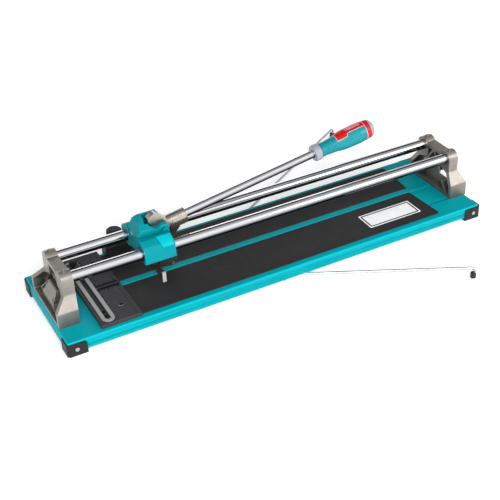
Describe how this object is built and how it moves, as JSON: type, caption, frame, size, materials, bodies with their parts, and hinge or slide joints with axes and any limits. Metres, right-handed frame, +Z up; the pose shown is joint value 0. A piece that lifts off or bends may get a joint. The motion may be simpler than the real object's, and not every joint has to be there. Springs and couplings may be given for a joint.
{
  "type": "manual tile cutter",
  "caption": "Manual rail tile cutter: folded steel base with rubber bed, twin chrome rails, sliding carriage with a pivoting lever, scoring wheel and breaker foot, and swing-out support arms.",
  "frame": {"origin": "on the table plane, midway along the base and under the cut line", "axes": "+X along the rails, towards the handle's free end; +Y away from the user; +Z up"},
  "size_m": [1.005, 0.7069, 0.2504],
  "materials": {
    "teal_paint": "glossy teal powder coat on folded steel",
    "teal_casting": "glossy teal paint on an aluminium casting",
    "teal_plastic": "glossy teal moulded grip",
    "red_plastic": "glossy red moulded inlay",
    "pale_plastic": "lilac-grey moulded plastic",
    "bed_rubber": "matt black ribbed rubber sheet",
    "foot_rubber": "black rubber boot",
    "seal_rubber": "black lip seal",
    "black_plastic": "textured black moulding",
    "pad_plastic": "light grey moulded pad",
    "dark_enamel": "dark grey enamel, fine texture",
    "dark_casting": "dark brown-grey phosphated casting",
    "cast_alloy": "satin cast alloy, taupe-grey lacquer",
    "light_alloy": "light warm grey casting",
    "chrome_tube": "bright chrome plate on steel tube",
    "zinc_steel": "bright zinc plate",
    "screw_steel": "zinc-plated screw steel",
    "ball_steel": "polished hardened steel",
    "black_steel": "black oxide steel",
    "clear_plastic": "clear moulded bearing sleeve",
    "gold_carbide": "titanium-coated carbide, gold coloured"
  },
  "bodies": {
    "base": {"base_plate": "teal_paint", "breaking_ridge": "teal_paint", "base_stiffener": "zinc_steel", "near_pad": "bed_rubber", "rear_pad": "bed_rubber", "corner_cap_front_left": "black_plastic", "corner_cap_rear_left": "black_plastic", "corner_cap_front_right": "black_plastic", "corner_cap_rear_right": "black_plastic", "cap_screws": "screw_steel", "left_bracket": "cast_alloy", "right_bracket": "cast_alloy", "front_rail": "chrome_tube", "rear_rail": "chrome_tube", "rail_set_screws": "screw_steel", "bracket_screws": "screw_steel", "fence_plate": "dark_enamel", "fence_bar": "zinc_steel", "fence_screws": "screw_steel", "bar_screws": "black_steel", "arm_sockets": "zinc_steel", "arm_stops": "zinc_steel"},
    "carriage": {"carriage_body": "teal_casting", "front_bearing": "clear_plastic", "rear_bearing": "clear_plastic", "front_balls": "ball_steel", "rear_balls": "ball_steel", "bearing_seals": "seal_rubber", "pivot_pin": "ball_steel", "pivot_clip": "black_steel"},
    "lever": {"lever_head": "light_alloy", "handle_shaft": "chrome_tube", "shaft_screw": "black_steel", "ferrule": "pale_plastic", "grip": "teal_plastic", "grip_inlay": "red_plastic", "grip_cap": "pale_plastic", "wheel_arm": "dark_casting", "arm_screws": "screw_steel", "wheel_axle": "screw_steel"},
    "wheel": {"cutting_wheel": "gold_carbide"},
    "breaker": {"breaker_foot": "dark_casting", "breaker_pads": "pad_plastic", "breaker_pin": "screw_steel"},
    "fence_slider": {"fence_stop": "black_plastic"},
    "fence_clamp": {"fence_stop_knob": "black_plastic"},
    "edge_slider": {"edge_stop": "black_plastic"},
    "edge_clamp": {"edge_stop_knob": "black_plastic"},
    "arm_front": {"front_arm": "zinc_steel", "front_arm_foot": "foot_rubber"},
    "arm_rear": {"rear_arm": "zinc_steel", "rear_arm_foot": "foot_rubber"}
  },
  "joints": [
    {"name": "carriage_slide", "type": "slide", "parent": "base", "child": "carriage", "axis": [1, 0, 0], "range_m": [-0.112, 0.59]},
    {"name": "handle_pivot", "type": "hinge", "parent": "carriage", "child": "lever", "pos_m": [-0.233, 0, 0.148], "axis": [0, 1, 0], "range_deg": [-45, 0]},
    {"name": "wheel_spin", "type": "hinge", "parent": "lever", "child": "wheel", "pos_m": [-0.215, 0, 0.05], "axis": [0, 1, 0], "continuous": true},
    {"name": "breaker_tilt", "type": "hinge", "parent": "lever", "child": "breaker", "pos_m": [-0.257, 0, 0.074], "axis": [0, 1, 0], "range_deg": [-10, 10]},
    {"name": "fence_stop_slide", "type": "slide", "parent": "base", "child": "fence_slider", "axis": [0, 1, 0], "range_m": [-0.15, 0]},
    {"name": "fence_knob_turn", "type": "hinge", "parent": "fence_slider", "child": "fence_clamp", "pos_m": [-0.4025, 0.096, 0.055], "axis": [0, 0, 1], "continuous": true},
    {"name": "edge_stop_slide", "type": "slide", "parent": "base", "child": "edge_slider", "axis": [1, 0, 0], "range_m": [0, 0.65]},
    {"name": "edge_knob_turn", "type": "hinge", "parent": "edge_slider", "child": "edge_clamp", "pos_m": [-0.295, 0.12, 0.08], "axis": [0, 0, 1], "continuous": true},
    {"name": "front_arm_swing", "type": "hinge", "parent": "base", "child": "arm_front", "pos_m": [0.012, -0.112, 0.02], "axis": [0, 0, 1], "range_deg": [-100, 5]},
    {"name": "rear_arm_swing", "type": "hinge", "parent": "base", "child": "arm_rear", "pos_m": [-0.029, 0.112, 0.02], "axis": [0, 0, 1], "range_deg": [-5, 100]}
  ]
}
